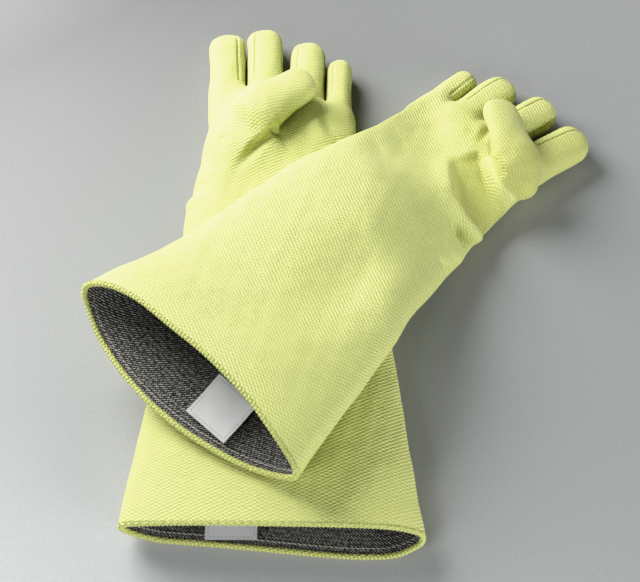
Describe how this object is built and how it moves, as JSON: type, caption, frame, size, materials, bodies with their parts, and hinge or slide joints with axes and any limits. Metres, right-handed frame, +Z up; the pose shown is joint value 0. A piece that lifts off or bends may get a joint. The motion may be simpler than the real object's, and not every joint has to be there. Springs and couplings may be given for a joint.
{
  "type": "cryogenic glove pair",
  "caption": "Pair of long gauntlet gloves in yellow woven cloth with a grey twill lining, palm up, the right glove lying across the left.",
  "frame": {"origin": "middle of the left glove's flat underside, on the surface it rests on", "axes": "+Y towards the left glove's fingertips, +X to the right seen from above (towards the left glove's little finger), +Z up"},
  "size_m": [0.3928, 0.4608, 0.0874],
  "materials": {
    "aramid_weave": "coarse woven, matt",
    "hem_weave": "rolled woven edge, matt",
    "lining_twill": "grey twill, matt",
    "label_tape": "smooth woven tape"
  },
  "bodies": {
    "left_glove": {"left_cuff_hem": "hem_weave", "left_gauntlet_back_panel": "aramid_weave", "left_gauntlet_lining": "lining_twill", "left_gauntlet_palm_panel": "aramid_weave", "left_hand_back_panel": "aramid_weave", "left_hand_lining": "lining_twill", "left_hand_palm_panel": "aramid_weave", "left_thumb_gusset": "aramid_weave"},
    "left_label_flap": {"left_label": "label_tape"},
    "right_gauntlet": {"right_cuff_hem": "hem_weave", "right_gauntlet_back_panel": "aramid_weave", "right_gauntlet_lining": "lining_twill", "right_gauntlet_palm_panel": "aramid_weave"},
    "right_hand": {"right_hand_back_panel": "aramid_weave", "right_hand_lining": "lining_twill", "right_hand_palm_panel": "aramid_weave", "right_thumb_gusset": "aramid_weave"},
    "right_label_flap": {"right_label": "label_tape"},
    "left_index": {"left_index_back_panel": "aramid_weave", "left_index_fourchette_pinky_side": "aramid_weave", "left_index_lining": "lining_twill", "left_index_palm_panel": "aramid_weave"},
    "left_middle": {"left_middle_back_panel": "aramid_weave", "left_middle_fourchette_pinky_side": "aramid_weave", "left_middle_fourchette_thumb_side": "aramid_weave", "left_middle_lining": "lining_twill", "left_middle_palm_panel": "aramid_weave"},
    "left_ring": {"left_ring_back_panel": "aramid_weave", "left_ring_fourchette_pinky_side": "aramid_weave", "left_ring_fourchette_thumb_side": "aramid_weave", "left_ring_lining": "lining_twill", "left_ring_palm_panel": "aramid_weave"},
    "left_pinky": {"left_pinky_back_panel": "aramid_weave", "left_pinky_fourchette_thumb_side": "aramid_weave", "left_pinky_lining": "lining_twill", "left_pinky_palm_panel": "aramid_weave"},
    "left_thumb": {"left_thumb_back_panel": "aramid_weave", "left_thumb_lining": "lining_twill", "left_thumb_palm_panel": "aramid_weave"},
    "right_index": {"right_index_back_panel": "aramid_weave", "right_index_fourchette_pinky_side": "aramid_weave", "right_index_lining": "lining_twill", "right_index_palm_panel": "aramid_weave"},
    "right_middle": {"right_middle_back_panel": "aramid_weave", "right_middle_fourchette_pinky_side": "aramid_weave", "right_middle_fourchette_thumb_side": "aramid_weave", "right_middle_lining": "lining_twill", "right_middle_palm_panel": "aramid_weave"},
    "right_ring": {"right_ring_back_panel": "aramid_weave", "right_ring_fourchette_pinky_side": "aramid_weave", "right_ring_fourchette_thumb_side": "aramid_weave", "right_ring_lining": "lining_twill", "right_ring_palm_panel": "aramid_weave"},
    "right_pinky": {"right_pinky_back_panel": "aramid_weave", "right_pinky_fourchette_thumb_side": "aramid_weave", "right_pinky_lining": "lining_twill", "right_pinky_palm_panel": "aramid_weave"},
    "right_thumb": {"right_thumb_back_panel": "aramid_weave", "right_thumb_lining": "lining_twill", "right_thumb_palm_panel": "aramid_weave"}
  },
  "joints": [
    {"name": "right_glove_lift", "type": "slide", "parent": "left_glove", "child": "right_gauntlet", "axis": [0, 0, 1], "range_m": [0, 0.15]},
    {"name": "right_wrist_flex", "type": "hinge", "parent": "right_gauntlet", "child": "right_hand", "pos_m": [0.11826, 0.06358, 0.0745], "axis": [0.7152, -0.6989, 0], "range_deg": [0, 20]},
    {"name": "left_index_flex", "type": "hinge", "parent": "left_glove", "child": "left_index", "pos_m": [-0.045, 0.143, 0.014], "axis": [1, 0, 0], "range_deg": [0, 45]},
    {"name": "left_middle_flex", "type": "hinge", "parent": "left_glove", "child": "left_middle", "pos_m": [-0.0115, 0.143, 0.014], "axis": [1, 0, 0], "range_deg": [0, 25]},
    {"name": "left_ring_flex", "type": "hinge", "parent": "left_glove", "child": "left_ring", "pos_m": [0.021, 0.143, 0.014], "axis": [1, 0, 0], "range_deg": [0, 25]},
    {"name": "left_pinky_flex", "type": "hinge", "parent": "left_glove", "child": "left_pinky", "pos_m": [0.0485, 0.143, 0.014], "axis": [1, 0, 0], "range_deg": [0, 45]},
    {"name": "left_thumb_lift", "type": "hinge", "parent": "left_glove", "child": "left_thumb", "pos_m": [-0.014, 0.121, 0.048], "axis": [0.6157, -0.788, 0], "range_deg": [0, 50]},
    {"name": "left_label_lift", "type": "hinge", "parent": "left_glove", "child": "left_label_flap", "pos_m": [-0.028, -0.222, 0.0079], "axis": [1, 0, 0], "range_deg": [0, 25]},
    {"name": "right_index_flex", "type": "hinge", "parent": "right_hand", "child": "right_index", "pos_m": [0.19297, 0.07657, 0.014], "axis": [0.7071, -0.7071, 0], "range_deg": [0, 16]},
    {"name": "right_middle_flex", "type": "hinge", "parent": "right_hand", "child": "right_middle", "pos_m": [0.16858, 0.10097, 0.014], "axis": [0.7071, -0.7071, 0], "range_deg": [0, 16]},
    {"name": "right_ring_flex", "type": "hinge", "parent": "right_hand", "child": "right_ring", "pos_m": [0.14546, 0.12409, 0.014], "axis": [0.7071, -0.7071, 0], "range_deg": [0, 16]},
    {"name": "right_pinky_flex", "type": "hinge", "parent": "right_hand", "child": "right_pinky", "pos_m": [0.12637, 0.14318, 0.01547], "axis": [0.7071, -0.7071, 0], "range_deg": [0, 45]},
    {"name": "right_thumb_lift", "type": "hinge", "parent": "right_hand", "child": "right_thumb", "pos_m": [0.182, 0.072, 0.049], "axis": [0.9925, 0.1219, 0], "range_deg": [0, 50]},
    {"name": "right_label_lift", "type": "hinge", "parent": "right_gauntlet", "child": "right_label_flap", "pos_m": [-0.04197, -0.14977, 0.0454], "axis": [0.7478, -0.6639, 0], "range_deg": [0, 40]}
  ]
}
